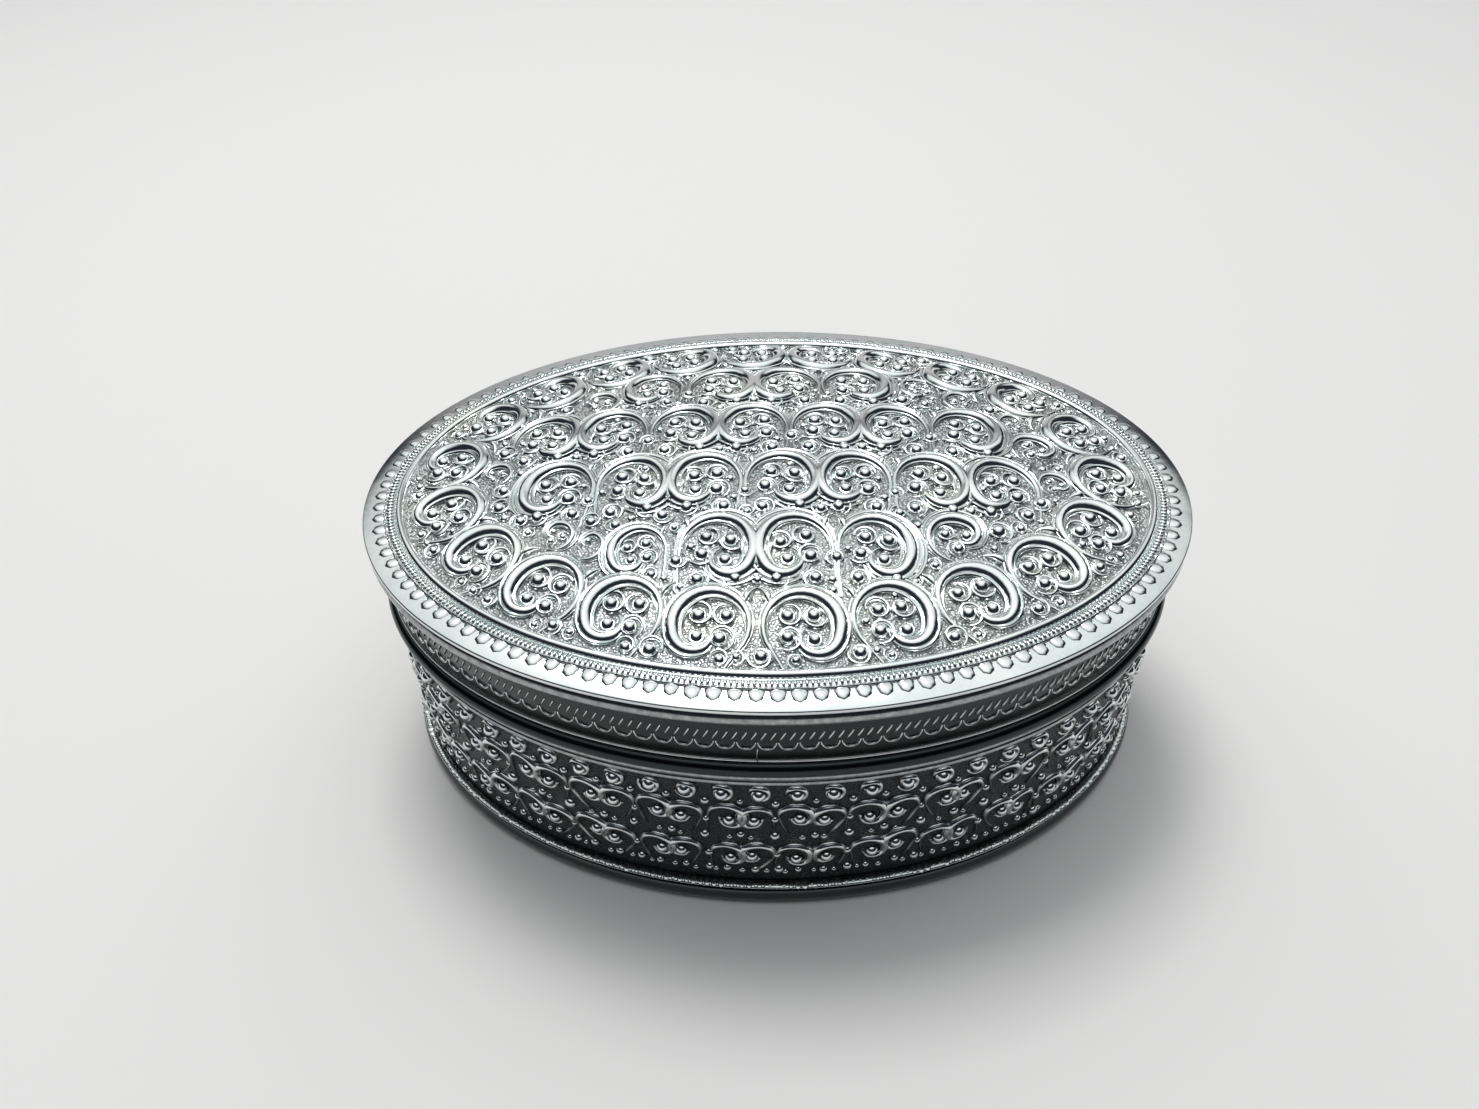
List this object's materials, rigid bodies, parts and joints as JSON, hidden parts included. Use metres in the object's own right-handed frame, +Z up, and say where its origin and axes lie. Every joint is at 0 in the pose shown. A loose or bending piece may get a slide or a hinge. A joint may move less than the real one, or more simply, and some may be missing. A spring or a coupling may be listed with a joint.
{
  "type": "oval keepsake box with lift-off lid",
  "caption": "Oval upright-walled box of chased silver sheet with a low domed lid that lifts off a bezel, a rolled rim, a collar and a half-round foot moulding.",
  "frame": {"origin": "middle of the foot, on the surface that the box stands on", "axes": "+X along the oval's long axis, +Y along its short axis to the back of the picture, +Z up"},
  "size_m": [0.15, 0.108, 0.0621],
  "materials": {
    "chased_silver": "repousse silver, polished on the high points and dark in the recesses",
    "plain_silver": "plain polished silver trim with light wear",
    "inside_silver": "satin silver, lightly tarnished, unornamented"
  },
  "bodies": {
    "box": {"body_wall": "chased_silver", "base_plate": "inside_silver", "body_collar": "plain_silver", "reed_wire": "plain_silver", "inner_flange": "inside_silver", "base_moulding": "plain_silver"},
    "lid": {"lid_skirt": "chased_silver", "lid_rim": "plain_silver", "lid_border": "chased_silver", "milled_wire": "plain_silver", "panel_wire": "plain_silver", "lid_panel": "chased_silver"}
  },
  "joints": [
    {"name": "lid_lift", "type": "slide", "parent": "box", "child": "lid", "axis": [0, 0, 1], "range_m": [0, 0.06]}
  ]
}
